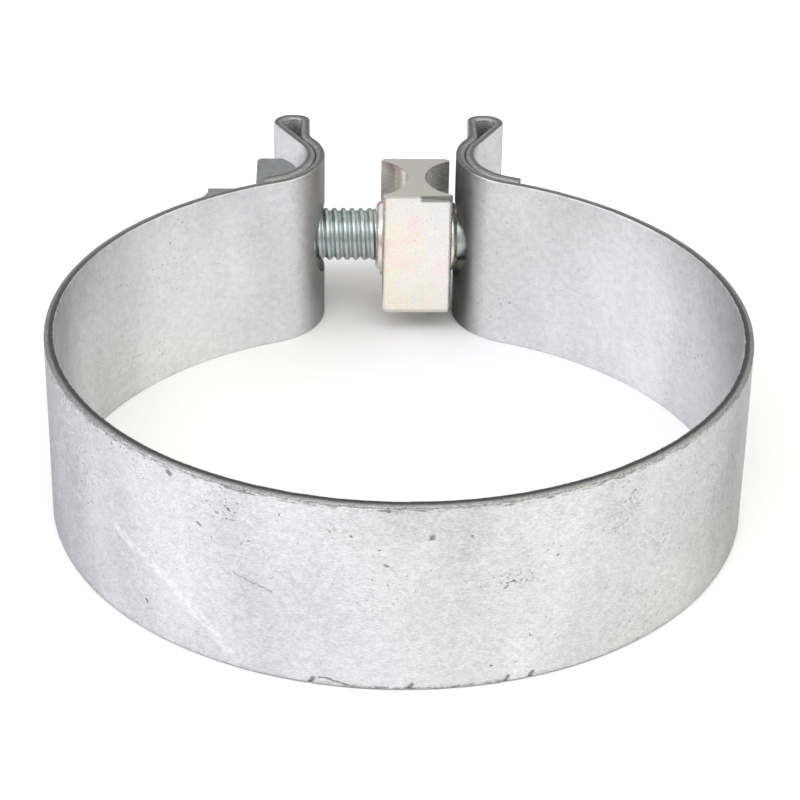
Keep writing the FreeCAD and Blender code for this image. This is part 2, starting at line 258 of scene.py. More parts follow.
def extrude(name, outline, axis, low, high):
    """A solid with this outline, from low to high along axis. Along "z" an outline point is
    (x, y), and along "x" it is (y, z)."""
    count = len(outline)
    ends = [[(a, b, at) if axis == "z" else (at, a, b) for a, b in outline] for at in (low, high)]
    sides = [(i, (i + 1) % count, count + (i + 1) % count, count + i) for i in range(count)]
    return mesh_object(name, ends[0] + ends[1], [range(count), range(count, 2 * count)] + sides)


def round_rims(obj, levels, radius):
    """Rounds the rims that lie at these heights."""
    bm = bmesh.new()
    bm.from_mesh(obj.data)
    for level in levels:
        edges = [e for e in bm.edges if all(abs(v.co.z - level) < WELD / 10 for v in e.verts)]
        bmesh.ops.bevel(bm, geom=edges, offset=radius, offset_type="OFFSET", affect="EDGES",
                        segments=RIM_SEGMENTS, profile=0.5, clamp_overlap=False)
    bm.to_mesh(obj.data)
    bm.free()


def lathe(name, profile, centre):
    """A solid turned about a line along X through centre (y, z). profile is (x, radius) pairs."""
    vertices = []
    for x, radius in profile:
        circle = arc_points(centre, radius, LATHE_TURN, 360 + LATHE_TURN, LATHE_STEPS)
        vertices += [(x, y, z) for y, z in circle[:-1]]
    faces = [range(LATHE_STEPS), range(len(vertices) - LATHE_STEPS, len(vertices))]
    faces += grid_faces(len(profile), LATHE_STEPS)
    return mesh_object(name, vertices, faces)


def grid_faces(rows, columns):
    """Faces of a tube of rows x columns points."""
    return [(i * columns + j, i * columns + (j + 1) % columns,
             (i + 1) * columns + (j + 1) % columns, (i + 1) * columns + j)
            for i in range(rows - 1) for j in range(columns)]


def join(target, other):
    """Adds the other mesh to the target's as a separate shell."""
    bm = bmesh.new()
    bm.from_mesh(target.data)
    bm.from_mesh(other.data)
    bpy.data.objects.remove(other)
    bm.to_mesh(target.data)
    bm.free()


def hexagon(turn):
    """A hexagon with rounded corners in the Y-Z plane, about the bolt's axis."""
    corner = (ACROSS_FLATS / 2 - HEX_EDGE) / math.cos(math.radians(30))
    points = []
    for k in range(6):
        middle = 60 * k + turn
        a = math.radians(middle)
        centre = (BOLT_Y + corner * math.cos(a), corner * math.sin(a))
        points += arc_points(centre, HEX_EDGE, middle - 30, middle + 30, HEX_STEPS)
    return points


# ---------------------------------------------------------------- strip


def bend(centre, radius, start, end):
    """Points along an arc and the normals to the left of travel. Angles are in degrees."""
    turn = math.radians(end - start)
    steps = math.ceil(max(abs(turn) * radius / STRIP_STEP, abs(turn) / STRIP_TURN))
    angles = math.radians(start) + np.linspace(0, turn, steps + 1)
    outward = np.column_stack([np.cos(angles), np.sin(angles)])
    return np.asarray(centre) + radius * outward, -outward if turn > 0 else outward


def run(first, last):
    """Points along a straight and the normals to the left of travel."""
    way = np.subtract(last, first)
    length = np.linalg.norm(way)
    steps = math.ceil(length / STRIP_STEP)
    points = np.asarray(first) + np.linspace(0, 1, steps + 1)[:, None] * way
    return points, np.tile([-way[1] / length, way[0] / length], (steps + 1, 1))


def polar(centre, radius, angle):
    a = math.radians(angle)
    return np.array([centre[0] + radius * math.cos(a), centre[1] + radius * math.sin(a)])


def strip_links():
    """The arcs and straights of the right half's middle line, from the front middle round the
    ring, up one side of the ear, over the hollow loop and back down to the end of the hem. Also
    returns the angle at which the strip leaves the ring."""
    layer = GAUGE + FOLD_CLEARANCE
    face = (BOLT_Y**2 + HALF_GAP**2 - BORE**2) / (2 * (BORE - HALF_GAP))
    curl = (HALF_GAP + face, BOLT_Y)
    leave = math.degrees(math.atan2(curl[1], curl[0]))

    neck_x = NECK_HALF_GAP - NECK_BEND
    reach = face + NECK_BEND
    neck = (neck_x, curl[1] + math.sqrt(reach**2 - (curl[0] - neck_x) ** 2))
    lean = math.degrees(math.asin((neck[1] - curl[1]) / reach))
    neck_radius = NECK_BEND + GAUGE / 2
    riser_x = neck[0] + neck_radius

    near_radius = LOOP_NEAR - GAUGE / 2
    far_radius = LOOP_FAR - GAUGE / 2
    top = LOOP_TOP - GAUGE / 2
    near = (riser_x + near_radius, top - near_radius)
    foot = polar(neck, neck_radius + layer, -LOOP_SLOPE)
    way = polar((0, 0), 1.0, 90 - LOOP_SLOPE)
    inward = np.array([-way[1], way[0]]) * far_radius
    slope_top = foot + way * ((top - far_radius - inward[1] - foot[1]) / way[1])
    far = slope_top + inward

    hem_end = leave - math.degrees(HEM_OVERRUN / (RING + layer))
    links = [
        bend((0, 0), RING, -90, leave),
        bend(curl, face - GAUGE / 2, leave + 180, 180 - lean),
        bend(neck, neck_radius, -lean, 0),
        run((riser_x, neck[1]), (riser_x, near[1])),
        bend(near, near_radius, 180, 90),
        run((near[0], top), (far[0], top)),
        bend(far, far_radius, 90, -LOOP_SLOPE),
        run(slope_top, foot),
        bend(neck, neck_radius + layer, -LOOP_SLOPE, -lean),
        bend(curl, face - GAUGE / 2 - layer, 180 - lean, leave + 180),
        bend((0, 0), RING + layer, leave, hem_end),
    ]
    return links, leave


def strip_path():
    """Points of the middle line, their left-hand normals, the distance to each along the line,
    and the length of line that lies on the ring."""
    links, leave = strip_links()
    points = np.concatenate([links[0][0][:1]] + [link[0][1:] for link in links])
    lefts = np.concatenate([links[0][1][:1]] + [link[1][1:] for link in links])
    steps = np.linalg.norm(np.diff(points, axis=0), axis=1)
    ring_length = RING * math.radians(leave + 90)
    return points, lefts, np.concatenate([[0], np.cumsum(steps)]), ring_length


def strip_section():
    """Cross-section of the strip as (towards the pipe, along the pipe) points. Its edges are
    rounder on the outer face than on the inner one, as on a sheared strip."""
    half = GAUGE / 2
    corners = ((1, 1, BURR_RADIUS), (-1, 1, ROLLOVER), (-1, -1, ROLLOVER), (1, -1, BURR_RADIUS))
    points = []
    for k, (u, z, radius) in enumerate(corners):
        centre = (u * (half - radius), z * (HALF_WIDTH - radius))
        points += arc_points(centre, radius, 90 * k, 90 * k + 90, SECTION_STEPS)
    filled = []
    for first, last in zip(points, points[1:] + points[:1]):
        parts = max(1, math.ceil(math.dist(first, last) / ROW_SPACING))
        filled += [tuple(np.add(first, np.subtract(last, first) * k / parts)) for k in range(parts)]
    return filled


def make_strip(name, side):
    """Half of the band. side is +1 for the half with the bolt's head."""
    points, lefts, along, ring_length = strip_path()
    section = strip_section()
    vertices = [(side * (p[0] + u * n[0]), p[1] + u * n[1], z)
                for p, n in zip(points, lefts) for u, z in section]
    faces = grid_faces(len(points), len(section))
    faces += [range(len(section)), range(len(vertices) - len(section), len(vertices))]
    strip = mesh_object(name, vertices, faces)
    near, far = BOLT_Y + SLOT_SHIFT - SLOT_RUN, BOLT_Y + SLOT_SHIFT + SLOT_RUN
    slot = (arc_points((near, 0), SLOT_HALF_HEIGHT, 90, 270, SLOT_STEPS)
            + arc_points((far, 0), SLOT_HALF_HEIGHT, -90, 90, SLOT_STEPS))
    through = sorted((side * HALF_GAP / 2, side * HALF_GAP * 3))
    combine(strip, extrude("slot_tool", slot, "x", *through), "DIFFERENCE")
    follow_strip(strip, side, points, lefts, along, ring_length)
    smooth(strip)
    return strip


def follow_strip(strip, side, points, lefts, along, ring_length):
    """Stores where each vertex lies on the flat strip, in millimetres, as the attribute "strip":
    distance from the front middle, height, and depth through the gauge. Then it gives the sheet
    its small unevenness: shallow ripples, a wandering sheared rim and a few nicks."""
    tree = kdtree.KDTree(len(points))
    for k, p in enumerate(points):
        tree.insert((side * p[0], p[1], 0), k)
    tree.balance()
    flat = []
    for vertex in strip.data.vertices:
        x, y, z = vertex.co
        _, k, _ = tree.find((x, y, 0))
        offset = np.array([side * x - points[k][0], y - points[k][1]])
        left = lefts[k]
        depth = float(offset @ left)
        distance = along[k] + float(offset @ [left[1], -left[0]])
        flat.append((side * distance / MM, z / MM, depth / MM))
        vertex.co += unevenness(side, distance, z, left, ring_length)
    attribute = strip.data.attributes.new("strip", "FLOAT_VECTOR", "POINT")
    attribute.data.foreach_set("vector", np.array(flat, np.float32).ravel())


def unevenness(side, distance, z, left, ring_length):
    """How far a point of the sheet moves. Every move is towards the pipe or the mid-height."""
    s = side * distance / MM
    fade = min(1.0, max(0.0, (ring_length - distance) / RIPPLE_FADE))
    waves = noise.noise((s / RIPPLE_LENGTH, z / MM / RIPPLE_HEIGHT, RIPPLE_LAYER))
    ripple = RIPPLE * fade * (0.5 + 0.5 * waves)
    rim = min(1.0, abs(z) / HALF_WIDTH) ** RIM_POWER
    above = 1.0 if z > 0 else -1.0
    wander = noise.noise((s / WANDER_LENGTH, above * WANDER_APART, WANDER_LAYER))
    pull = RIM_WANDER * (0.5 + 0.5 * wander)
    if z < 0:
        pull += NICK_DEPTH * sum(max(0.0, 1 - abs(s - nick) * MM / NICK_WIDTH) for nick in NICKS)
    return Vector((side * left[0] * ripple, left[1] * ripple, -above * pull * rim))


# ---------------------------------------------------------------- block


def block_outline(centre, half_width, half_depth):
    """The fluted section, anticlockwise from the lower lip of the right flute."""
    middle = half_width - FLUTE_DEPTH + FLUTE_RADIUS
    spread = math.degrees(math.acos((middle - half_width) / FLUTE_RADIUS))
    corner_x = half_width - BLOCK_CORNER
    corner_y = half_depth - BLOCK_CORNER
    x, y = centre
    return (arc_points((x + middle, y), FLUTE_RADIUS, 180 + spread, 180 - spread, FLUTE_STEPS)
            + arc_points((x + corner_x, y + corner_y), BLOCK_CORNER, 0, 90, BLOCK_STEPS)
            + arc_points((x - corner_x, y + corner_y), BLOCK_CORNER, 90, 180, BLOCK_STEPS)
            + arc_points((x - middle, y), FLUTE_RADIUS, spread, -spread, FLUTE_STEPS)
            + arc_points((x - corner_x, y - corner_y), BLOCK_CORNER, 180, 270, BLOCK_STEPS)
            + arc_points((x + corner_x, y - corner_y), BLOCK_CORNER, 270, 360, BLOCK_STEPS))


def stack(name, outline, centre, sections):
    """A solid through copies of one outline. Each section is (z, share of full size)."""
    vertices = [(centre.x + (x - centre.x) * share, centre.y + (y - centre.y) * share, z)
                for z, share in sections for x, y in outline]
    count = len(outline)
    ends = [range(count), range(len(vertices) - count, len(vertices))]
    return mesh_object(name, vertices, grid_faces(len(sections), count) + ends)


def make_block():
    centre = (BLOCK_LOW + BLOCK_HIGH) / 2
    half_width = (BLOCK_HIGH.x - BLOCK_LOW.x) / 2 - BOSS_PROUD
    half_depth = (BLOCK_HIGH.y - BLOCK_LOW.y) / 2
    outline = block_outline((centre.x, centre.y), half_width, half_depth)
    foot = arc_points((half_width - BLOCK_FOOT_RIM, BLOCK_LOW.z + BLOCK_FOOT_RIM),
                      BLOCK_FOOT_RIM, -90, 0, BLOCK_STEPS)
    top = arc_points((half_width - BLOCK_TOP_RIM, BLOCK_HIGH.z - BLOCK_TOP_RIM),
                     BLOCK_TOP_RIM, 0, 90, TOP_RIM_STEPS)
    sections = [(z, x / half_width) for x, z in foot + top]
    block = stack("reaction_block_body", outline, centre, sections)
    combine(block, tear_tool(centre.x + TEAR_START), "DIFFERENCE")

    tip = half_width + BOSS_PROUD
    edge_centre = (tip - BOSS_EDGE, BOSS_RADIUS - BOSS_EDGE)
    rounded = arc_points(edge_centre, BOSS_EDGE, 90, 0, BOSS_STEPS)
    profile = [(centre.x - x, r) for x, r in reversed(rounded)]
    profile += [(centre.x + x, r) for x, r in rounded]
    bolt_line = (BOLT_Y, centre.z)
    combine(block, lathe("boss_tool", profile, bolt_line), "UNION")
    ends = (centre.x - 2 * half_width, centre.x + 2 * half_width)
    combine(block, lathe("bore_tool", [(x, BLOCK_BORE) for x in ends], bolt_line), "DIFFERENCE")
    smooth(block)
    return block


def tear_tool(start):
    """The wedge that is missing from the front top edge, deepest at the right."""
    front, top = BLOCK_LOW.y, BLOCK_HIGH.z
    beyond = 2 * PAST
    vertices = []
    for x, share in ((start, TEAR_THIN), (BLOCK_HIGH.x + beyond, 1.0)):
        drop, depth = TEAR_HEIGHT * share, TEAR_DEPTH * share
        vertices += [(x, front - beyond, top - drop), (x, front + depth, top - TEAR_BACK * drop),
                     (x, front + TEAR_RUNOUT * depth, top + beyond),
                     (x, front - beyond, top + beyond)]
    return mesh_object("tear_tool", vertices, grid_faces(2, 4) + [range(4), range(4, 8)])


# ---------------------------------------------------------------- bars


def make_bar(node, name, side):
    """A half-round bar. side is +1 for the bar under the bolt's head."""
    low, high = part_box(node)
    flat_x = high.x if side > 0 else low.x
    half = (high.y - low.y) / 2
    centre = BAR_THICKNESS - BAR_CROWN
    spread = math.degrees(math.asin(half / BAR_CROWN))
    inward = [(x, y) for x, y in
              arc_points((BAR_CORNER, half - BAR_CORNER), BAR_CORNER, 180, 90, BAR_CORNER_STEPS)
              + arc_points((centre, 0), BAR_CROWN, spread, -spread, BAR_CROWN_STEPS)
              + arc_points((BAR_CORNER, BAR_CORNER - half), BAR_CORNER, 270, 180, BAR_CORNER_STEPS)]
    outline = [(flat_x - side * x, BOLT_Y + y) for x, y in inward]
    bar = extrude(name, outline, "z", low.z, high.z)
    round_rims(bar, (low.z, high.z), BAR_RIM)
    beyond = flat_x + side * PAST
    seat = flat_x - side * (BAR_THICKNESS - BAR_SEAT_DEPTH)
    crown = flat_x - side * (BAR_THICKNESS + PAST)
    line = (BOLT_Y, 0)
    combine(bar, lathe("hole_tool", [(beyond, BAR_HOLE), (crown, BAR_HOLE)], line), "DIFFERENCE")
    combine(bar, lathe("seat_tool", [(seat, BAR_SEAT), (crown, BAR_SEAT)], line), "DIFFERENCE")
    smooth(bar)
    return bar


# ---------------------------------------------------------------- bolt and nut


def thread_radius(x, angle):
    """Radius of the thread's surface. Crests and roots are flat, and the flanks are straight."""
    turn = (x / THREAD_PITCH - angle / math.tau) % 1.0
    from_crest = abs(turn - 0.5) * 2
    flank = min(1.0, max(0.0, (from_crest - THREAD_CREST) / (THREAD_ROOT - THREAD_CREST)))
    cut_in = min(1.0, max(0.0, (BOLT_LOW.x + THREAD_LENGTH - x) / (2 * THREAD_PITCH)))
    tip = BOLT_RADIUS - TIP_CHAMFER + (x - BOLT_LOW.x)
    return min(BOLT_RADIUS - THREAD_DEPTH * flank * cut_in, tip)


def make_shank():
    """The threaded and plain length of the bolt. It ends inside the head."""
    step = THREAD_PITCH / THREAD_ROWS
    count = int(THREAD_LENGTH / THREAD_PITCH * THREAD_ROWS) + 1
    rows = [BOLT_LOW.x + k * step for k in range(count)]
    rows += [BOLT_LOW.x + THREAD_LENGTH, BOLT_HIGH.x - HEAD_HEIGHT / 2]
    vertices = []
    for x in rows:
        for k in range(THREAD_COLUMNS):
            angle = math.tau * k / THREAD_COLUMNS
            radius = thread_radius(x, angle)
            vertices.append((x, BOLT_Y + radius * math.cos(angle), radius * math.sin(angle)))
    faces = grid_faces(len(rows), THREAD_COLUMNS)
    faces += [range(THREAD_COLUMNS), range(len(vertices) - THREAD_COLUMNS, len(vertices))]
    return mesh_object("bolt_body", vertices, faces)


def make_bolt():
    shank = make_shank()
    bearing = BOLT_HIGH.x - HEAD_HEIGHT
    head = extrude("head", hexagon(90), "x", bearing, BOLT_HIGH.x)
    face = ACROSS_FLATS / 2 - FACE_INSET
    slope = math.tan(math.radians(HEAD_SLOPE))
    profile = [(bearing, face + HEAD_HEIGHT * slope), (BOLT_HIGH.x, face)]
    combine(head, lathe("head_tool", profile, (BOLT_Y, 0)), "INTERSECT")
    weld(head)
    join(shank, head)
    smooth(shank)
    return shank


def make_nut():
    """A hexagon with a chamfered foot and a conical collar."""
    foot = NUT_HIGH.x
    face = ACROSS_FLATS / 2 - FACE_INSET
    full = ACROSS_FLATS / 2 / math.cos(math.radians(30))
    profile = [(foot, face), (foot - NUT_CHAMFER, full), (foot - NUT_HEX_HEIGHT, full),
               (foot - NUT_HEX_HEIGHT, COLLAR_BASE), (NUT_LOW.x, COLLAR_TOP)]
    nut = extrude("lock_nut_body", hexagon(0), "x", NUT_LOW.x, foot)
    combine(nut, lathe("nut_tool", profile, (BOLT_Y, 0)), "INTERSECT")
    bore = [(foot + NUT_MOUTH, NUT_BORE + 2 * NUT_MOUTH), (foot - NUT_MOUTH, NUT_BORE),
            (NUT_LOW.x + NUT_MOUTH, NUT_BORE), (NUT_LOW.x - NUT_MOUTH, NUT_BORE + NUT_MOUTH)]
    combine(nut, lathe("nut_bore_tool", bore, (BOLT_Y, 0)), "DIFFERENCE")
    weld(nut)
    smooth(nut)
    return nut


# ---------------------------------------------------------------- shader helpers

NOISE_LOW, NOISE_HIGH = 0.3, 0.7
# the share of a line's width that is at full strength
LINE_CORE = 0.3


class Graph:
    """A node tree under construction. Each method adds nodes and returns the value they make."""

    def __init__(self, tree):
        self.tree = tree
        tree.nodes.clear()

    def add(self, kind, settings=None, inputs=None):
        node = self.tree.nodes.new("ShaderNode" + kind)
        for key, value in (settings or {}).items():
            setattr(node, key, value)
        for key, value in (inputs or {}).items():
            self.feed(node.inputs[key], value)
        return node

    def feed(self, socket, value):
        if isinstance(value, bpy.types.NodeSocket):
            self.tree.links.new(value, socket)
        elif socket.type == "RGBA":
            socket.default_value = (*value, 1)
        else:
            socket.default_value = value

    def maths(self, operation, *values, clamp=False):
        node = self.add("Math", {"operation": operation, "use_clamp": clamp}, dict(enumerate(values)))
        return node.outputs[0]

    def vector(self, operation, first, second):
        node = self.add("VectorMath", {"operation": operation}, {0: first, 1: second})
        return node.outputs["Value" if operation in ("DOT_PRODUCT", "DISTANCE") else "Vector"]

    def split(self, vector):
        return self.add("SeparateXYZ", None, {0: vector}).outputs

    def noise(self, where, scale, detail=3.0, roughness=0.5):
        settings = {"Vector": where, "Scale": scale, "Detail": detail, "Roughness": roughness}
        return self.add("TexNoise", None, settings).outputs[0]

    def ramp(self, value, low, high, start=0.0, end=1.0):
        """A smooth step from start at low to end at high."""
        inputs = {"Value": value, "From Min": low, "From Max": high, "To Min": start, "To Max": end}
        return self.add("MapRange", {"interpolation_type": "SMOOTHSTEP"}, inputs).outputs[0]

    def mix(self, factor, first, second):
        node = self.add("Mix", {"data_type": "RGBA"}, {0: factor, 6: first, 7: second})
        return node.outputs[2]

    def scale_colour(self, colour, factor):
        return self.vector("MULTIPLY", colour, self.vector_of(factor, factor, factor))

    def bump(self, height, depth, under=None):
        inputs = {"Height": height, "Distance": depth, "Strength": 1.0}
        if under is not None:
            inputs["Normal"] = under
        return self.add("Bump", None, inputs).outputs[0]

    def near_line(self, where, first, last, width):
        """1 near the line between two points of the X-Y plane, falling to 0 at width."""
        way = Vector((last[0] - first[0], last[1] - first[1], 0))
        from_first = self.vector("SUBTRACT", where, (first[0], first[1], 0))
        reach = self.vector("DOT_PRODUCT", from_first, way)
        share = self.maths("DIVIDE", reach, way.length_squared, clamp=True)
        nearest = self.vector("MULTIPLY", way, self.vector_of(share, share))
        return self.ramp(self.vector("DISTANCE", from_first, nearest), width, LINE_CORE * width)

    def brightest(self, masks):
        total = masks[0]
        for mask in masks[1:]:
            total = self.maths("MAXIMUM", total, mask)
        return total

    def times(self, *values):
        product = values[0]
        for value in values[1:]:
            product = self.maths("MULTIPLY", product, value)
        return product

    def stretch(self, where, by):
        return self.vector("MULTIPLY", where, by)

    def spread(self, value, start, end):
        """Turns a noise, which mostly lies between NOISE_LOW and NOISE_HIGH, into start to end."""
        return self.ramp(value, NOISE_LOW, NOISE_HIGH, start, end)

    def vector_of(self, *parts):
        return self.add("CombineXYZ", None, dict(enumerate(parts))).outputs[0]


def metal(name):
    """A new material and its graph."""
    material = bpy.data.materials.new(name)
    material.use_nodes = True
    return material, Graph(material.node_tree)


def object_place(graph):
    """The place on the piece in millimetres."""
    coordinates = graph.add("TexCoord").outputs["Object"]
    return graph.stretch(coordinates, (1 / MM, 1 / MM, 1 / MM))


def surface(graph, colour, metallic, roughness, normal, edge_tint=(1.0, 1.0, 1.0)):
    """edge_tint darkens a metal's reflection where it is seen at a glancing angle."""
    inputs = {"Base Color": colour, "Metallic": metallic, "Roughness": roughness, "Normal": normal,
              "Specular Tint": edge_tint}
    shader = graph.add("BsdfPrincipled", None, inputs)
    graph.add("OutputMaterial", None, {"Surface": shader.outputs[0]})


# ---------------------------------------------------------------- the band's material

# the skin's noise runs faster through the gauge, so that the two faces of the sheet differ
SKIN_STRETCH = (1, 1, 6)

BAND_COLOUR = (0.68, 0.68, 0.685)
BAND_EDGE_TINT = (0.30, 0.30, 0.31)
GRIME_COLOUR = (0.16, 0.155, 0.15)
SCUFF_COLOUR = (0.93, 0.93, 0.94)
MOUTH_SHADE_COLOUR = (0.10, 0.10, 0.095)
CUT_DARK = (0.09, 0.09, 0.09)
CUT_PALE = (0.31, 0.31, 0.305)

# Tones by place on the strip, set by comparing the render's brightness with the photograph's.
# Where there are two shares, the first is for the left half and the second for the right half.
# painted light on the sheet's inner face, stronger on the right half
INNER_PAINTED_LIGHT = (0.05, 0.11)
INNER_GRAIN = 0.45
# width and strength of the darkening across the front middle
FRONT_DARKENING_WIDTH = 26.0
FRONT_DARKENING_SHARE = 0.09
# distance round the strip over which the painted shade in the ears' mouths comes and clears, then
# depth and strength
MOUTH_START = (155.5, 162.0)
MOUTH_END = (184.0, 174.0)
MOUTH_DEPTH = (0.2, 0.6)
MOUTH_SHADE = (0.48, 0.80)

# widths of the marks in millimetres, and the noise levels between which broken marks appear
SCUFF_WIDTH = 1.1
SCRATCH_WIDTH = 0.20
CRACK_WIDTH = 0.32
FOOT_LINE_WIDTH = 0.5
FOOT_LINE_RISE = 0.3
NICK_MARK = (0.5, 1.1)
NICK_MARK_WIDTH = 0.42
PIT_LENGTH = 0.3
PIT_WIDTH = 1.6
MARK_WOBBLE = (0.35, 0.3)
SPECK_LEVELS = (0.645, 0.695)
SPECK_CROWDING = 0.08
SPECK_RIM = (12.4, 15.2)
PATCH_LEVELS = (0.46, 0.62)
SCORE_LEVELS = (0.70, 0.76)
BROKEN_LEVELS = (0.46, 0.58)

# heights and depths in millimetres between which each rim effect comes and goes
GRIME_RISE = (14.85, 15.15)
GRIME_FALL = (15.6, 15.4)
CUT_EDGE = (0.72, 0.58)
# heights of the painted shade on the rolled outer rims
ROLLED_EDGE = (15.38, 15.50)
# distance round the strip over which the cut edges grow paler towards the ears, a painted sheen
EAR_EDGE_SHEEN_RUN = (80.0, 140.0)

DARK_SHARE = 0.8
FINE_RELIEF = 0.05 * MM
BROAD_RELIEF = 0.25 * MM


class StripPlace:
    """Where a shaded point lies on the flat strip, in millimetres, and masks made from that."""

    def __init__(self, g):
        self.place = g.add("Attribute", {"attribute_name": "strip"}).outputs["Vector"]
        self.s, self.z, self.u = g.split(self.place)
        self.skin = g.stretch(self.place, SKIN_STRETCH)
        self.steady = g.stretch(self.place, (1, 1, 0))
        self.run = g.maths("ABSOLUTE", self.s)
        self.height = g.maths("ABSOLUTE", self.z)
        self.depth = g.maths("ABSOLUTE", self.u)
        self.inside = g.ramp(self.u, -0.2, 0.2)
        self.outside = g.ramp(self.u, 0.0, -0.2)
        self.right = g.ramp(self.s, -1.0, 1.0)
        self.cloud = g.noise(g.stretch(self.skin, (1, 0.45, 1)), 0.07, 3.0)
        self.mottle = g.noise(self.skin, 0.8, 6.0, 0.65)
        self.grain = g.noise(g.stretch(self.skin, (0.6, 1.8, 1)), 3.2, 4.0, 0.75)


def skin_colour(g, at):
    """The dull mottled skin of the sheet, darker across the front middle, with painted light on the
    inner face.
    """
    tone = g.maths("ADD", g.spread(at.cloud, 0.90, 1.07), g.spread(at.mottle, -0.08, 0.06))
    grain_share = g.ramp(at.inside, 0.0, 1.0, 1.0, INNER_GRAIN)
    tone = g.maths("ADD", tone, g.times(g.spread(at.grain, -0.17, 0.13), grain_share))
    # a broad, slight darkening across the front middle
    front_darkening = g.near_line(at.skin, *FRONT_DARKENING, FRONT_DARKENING_WIDTH)
    tone = g.maths("SUBTRACT", tone, g.times(front_darkening, FRONT_DARKENING_SHARE))
    # painted light on the inner face, stronger on the right half
    painted_lift = g.times(at.inside, g.ramp(at.right, 0.0, 1.0, *INNER_PAINTED_LIGHT))
    return g.scale_colour(BAND_COLOUR, g.times(tone, g.maths("ADD", painted_lift, 1.0)))


def dirt_mask(g, at):
    """Dark specks that gather in patches, and short dark scores that run down the sheet."""
    patches = g.ramp(g.noise(at.skin, 0.11, 2.0), *PATCH_LEVELS, 0.25, 1.0)
    near_cluster = g.brightest([g.near_line(at.place, (x, y), (x + size, y), size)
                                for x, y, size in CLUSTERS])
    at_rim = g.times(g.ramp(at.z, *SPECK_RIM), g.ramp(at.s, 30.0, -20.0, 0.35, 1.0))
    crowding = g.times(g.maths("MAXIMUM", near_cluster, at_rim), at.outside, SPECK_CROWDING)
    speck_noise = g.noise(at.skin, 2.2, 3.0, 0.6)
    specks = g.ramp(g.maths("ADD", speck_noise, crowding), *SPECK_LEVELS)
    score_noise = g.noise(g.stretch(at.skin, (2.6, 0.5, 1)), 0.9, 4.0, 0.6)
    return g.times(patches, g.brightest([specks, g.ramp(score_noise, *SCORE_LEVELS)]))


def scuff_mask(g, at):
    """The pale scuff low on the left."""
    line = g.brightest([g.near_line(at.steady, a, b, SCUFF_WIDTH) for a, b in zip(SCUFF, SCUFF[1:])])
    return g.times(line, at.outside, g.ramp(at.mottle, 0.35, 0.6, 0.06, 0.42))


def mark_mask(g, at):
    """Pits, scratches and nicks at known places on the outer face."""
    wobble = g.noise(at.skin, 0.8, 3.0)
    across, along = MARK_WOBBLE
    shift = g.vector_of(g.spread(wobble, -across, across), g.spread(wobble, along, -along))
    shaken = g.stretch(g.vector("ADD", at.place, shift), (1, 1, 0))
    foot = -HALF_WIDTH / MM

    marks = [g.near_line(shaken, (x, y), (x + PIT_LENGTH * size, y), size * PIT_WIDTH)
             for x, y, size in PITS]
    marks.append(g.near_line(shaken, *BOTTOM_CRACK, CRACK_WIDTH))
    scratch = g.near_line(shaken, *SCRATCH, SCRATCH_WIDTH)
    marks.append(g.times(scratch, g.ramp(at.grain, 0.45, 0.60, 0.3, 0.9)))
    first, last = [(x, foot + FOOT_LINE_RISE) for x in FOOT_LINE]
    broken = g.noise(g.stretch(at.place, (1, 3, 1)), 0.9, 4.0, 0.7)
    foot_line = g.near_line(at.steady, first, last, FOOT_LINE_WIDTH)
    marks.append(g.times(foot_line, g.ramp(broken, *BROKEN_LEVELS)))
    lean, rise = NICK_MARK
    marks += [g.near_line(at.steady, (nick, foot), (nick + lean, foot + rise), NICK_MARK_WIDTH)
              for nick in NICKS]
    return g.times(g.brightest(marks), at.outside)


def grime_mask(g, at):
    """Grime in a broken line under each sheared rim."""
    under_rim = g.times(g.ramp(at.height, *GRIME_RISE), g.ramp(at.height, *GRIME_FALL))
    ragged = g.noise(g.stretch(at.skin, (0.5, 1.6, 1)), 1.3, 5.0, 0.7)
    share = g.times(g.ramp(at.u, 0.2, -0.2, 0.12, 1.0), g.ramp(at.z, -1.0, 1.0, 0.3, 1.0))
    return g.times(under_rim, g.ramp(ragged, *PATCH_LEVELS), share)


def painted_mouth_shade_mask(g, at):
    """Painted shade inside each ear's mouth, on the side that faces the gap."""
    mouth = g.times(g.ramp(at.run, *MOUTH_START), g.ramp(at.run, *MOUTH_END),
                    g.ramp(at.u, *MOUTH_DEPTH))
    return g.times(mouth, g.ramp(at.right, 0.0, 1.0, *MOUTH_SHADE))


def sheared_edge(g, at):
    """Mask and colour of the bare steel on the strip's edges and in the slots. The cut colour
    grows paler towards the ears, a painted sheen, and it is also painted over the rolled outer
    rims as painted shade that hides their highlight.
    """
    jitter = g.noise(g.stretch(at.place, (0.7, 1, 3)), 1.5, 4.0, 0.7)
    cut = g.ramp(g.maths("ADD", at.depth, g.spread(jitter, -0.07, 0.07)), *CUT_EDGE)
    # painted shade: the rolled outer rims take the cut colour, which hides their highlight
    rolled_rim_shade = g.ramp(g.maths("ADD", at.height, g.spread(jitter, -0.12, 0.12)), *ROLLED_EDGE)
    rolled_rim_shade = g.times(rolled_rim_shade, g.ramp(at.z, -1.0, 1.0, 0.2, 1.0), at.outside)
    streaks = g.noise(g.stretch(at.place, (2.5, 0.4, 9)), 1.0, 4.0, 0.7)
    # paler on the outer side of the cut, and a painted sheen towards the ears
    pale_and_ear_sheen = g.maths("ADD", g.ramp(at.u, 0.15, -0.45), g.ramp(at.run, *EAR_EDGE_SHEEN_RUN, 0.0, 0.45), clamp=True)
    colour = g.scale_colour(g.mix(pale_and_ear_sheen, CUT_DARK, CUT_PALE), g.spread(streaks, 0.6, 1.5))
    return g.maths("MAXIMUM", cut, rolled_rim_shade), colour


